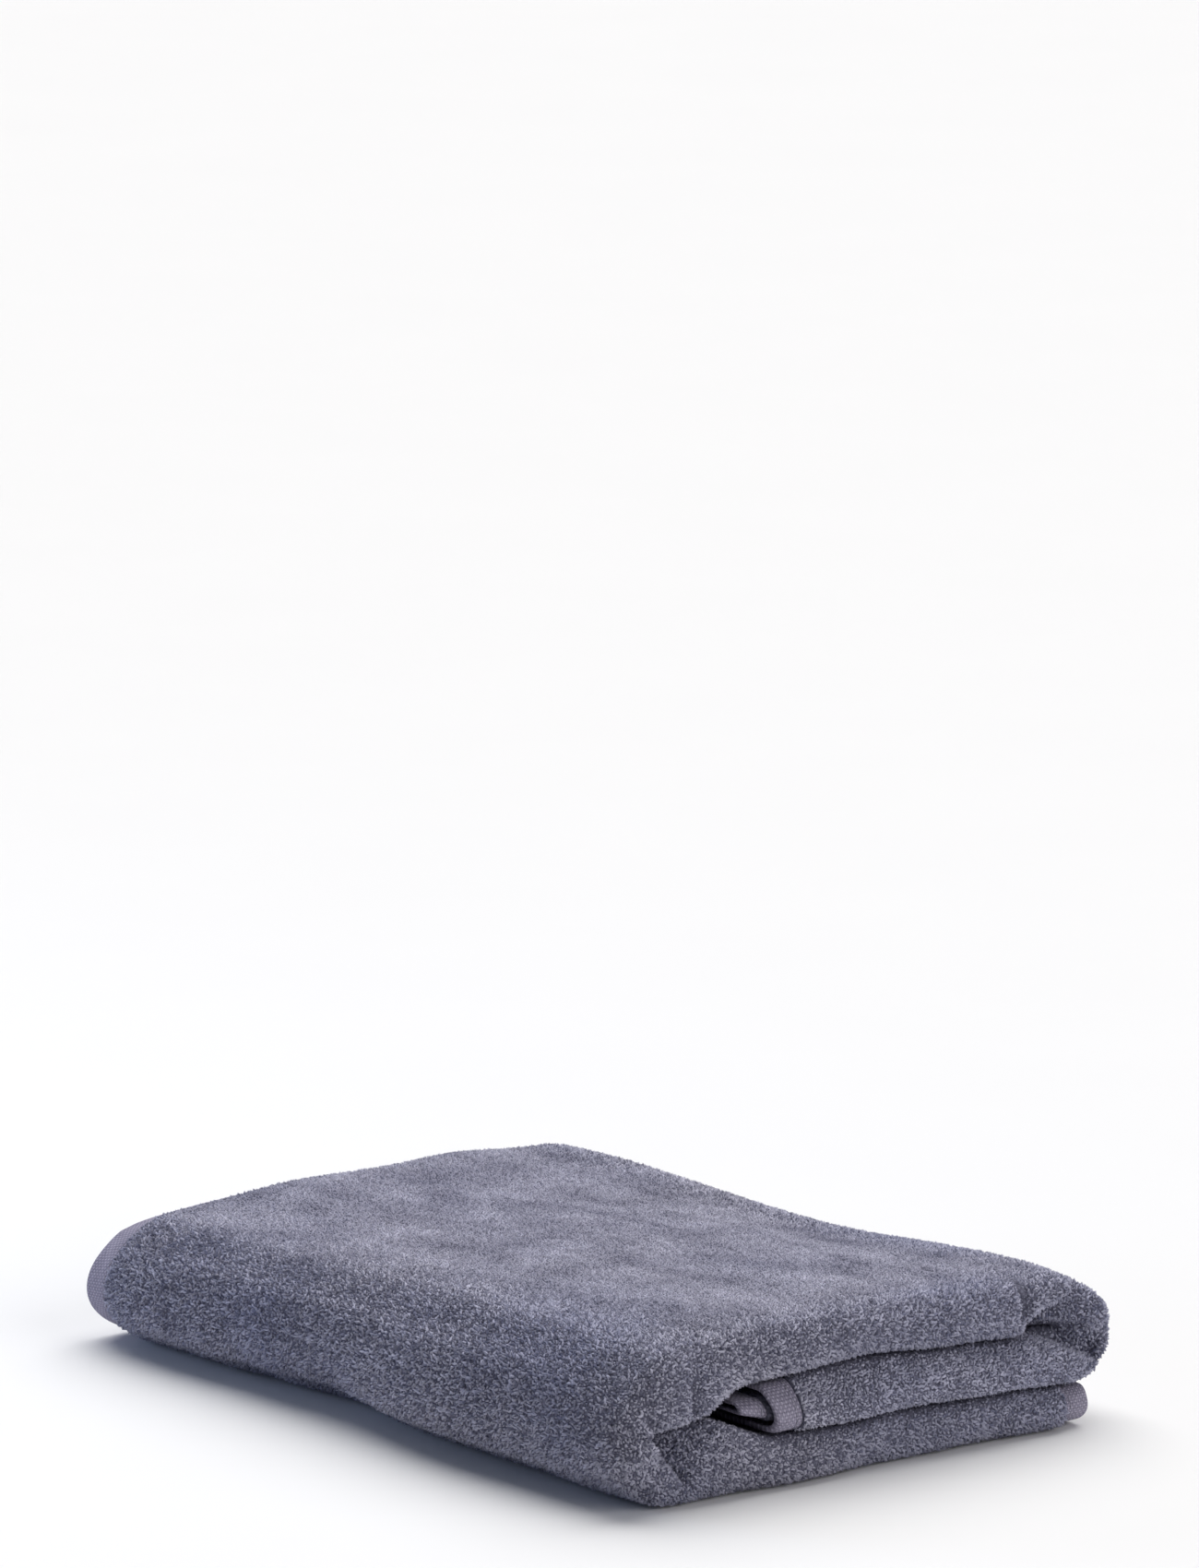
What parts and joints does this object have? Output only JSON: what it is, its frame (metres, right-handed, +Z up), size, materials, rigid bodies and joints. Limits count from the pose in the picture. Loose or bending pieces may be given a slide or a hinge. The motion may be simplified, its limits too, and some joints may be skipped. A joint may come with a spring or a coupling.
{
  "type": "folded bath towel",
  "caption": "Thick terry bath towel, quarter-folded lengthwise and then folded in three, with woven hems along its edges.",
  "frame": {"origin": "on the resting surface, under the middle of the folded towel's bounding box", "axes": "+Z up, +Y along the folded towel from its rolled end to its hemmed end, +X across it from the rounded wrap to the side where the lowest third ends"},
  "size_m": [0.255, 0.365, 0.0656],
  "materials": {
    "terry": "dense looped cotton pile, grey-blue, matt",
    "hem": "flat plain weave, grey-blue, matt",
    "thread": "spun sewing thread, grey-blue"
  },
  "bodies": {
    "root": {"terry_cloth": "terry", "end_hem_outer": "hem", "end_hem_inner": "hem", "side_hem_bottom": "hem", "side_hem_tucked": "hem", "needle_thread_end_outer": "thread", "bobbin_thread_end_outer": "thread", "needle_thread_end_inner": "thread", "bobbin_thread_end_inner": "thread", "needle_thread_side_bottom": "thread", "bobbin_thread_side_bottom": "thread", "needle_thread_side_tucked": "thread", "bobbin_thread_side_tucked": "thread"}
  },
  "joints": []
}
